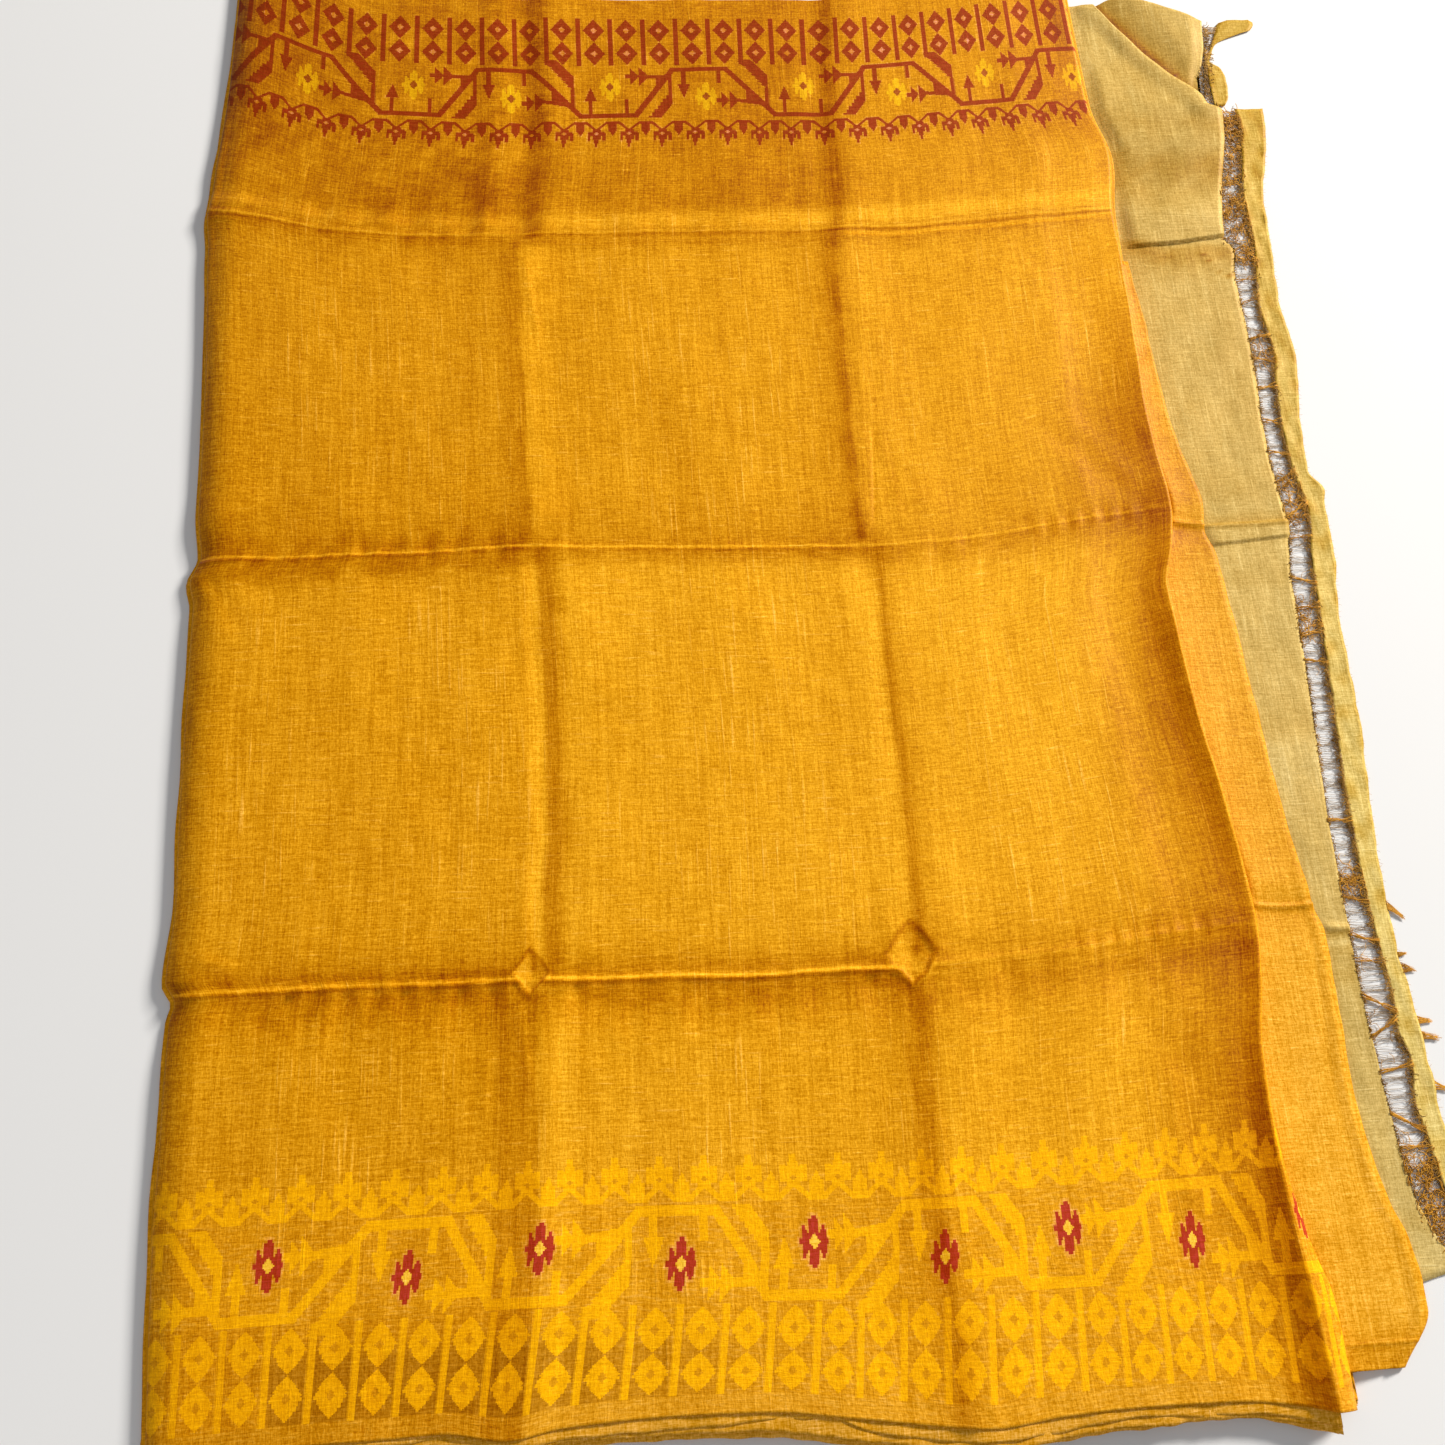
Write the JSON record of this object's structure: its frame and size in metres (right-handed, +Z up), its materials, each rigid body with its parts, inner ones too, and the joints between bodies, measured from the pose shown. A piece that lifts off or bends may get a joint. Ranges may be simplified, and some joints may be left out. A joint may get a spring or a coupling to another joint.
{
  "type": "folded sari",
  "caption": "Gold silk sari laid flat in its storage folds, with a patterned border on each long edge, a raised fold and a pale fringed end.",
  "frame": {"origin": "on the surface it lies on, under the middle of its box", "axes": "+Z up from the surface, +Y across the cloth's width to the red border, +X along the cloth to the pale end"},
  "size_m": [0.9044, 1.2214, 0.02],
  "materials": {
    "gold_silk": "slubby hand-woven silk with a soft sheen",
    "pale_silk": "thin open silk with a soft sheen",
    "warp_threads": "loose silk threads"
  },
  "bodies": {
    "root": {"top_stretch": "gold_silk", "hidden_layers": "gold_silk", "gold_strip": "gold_silk", "pale_stretch": "pale_silk", "pale_corner": "pale_silk", "end_strip": "pale_silk", "corner_strip": "pale_silk", "gap_threads": "warp_threads", "corner_threads": "warp_threads", "end_fringe": "warp_threads"}
  },
  "joints": []
}
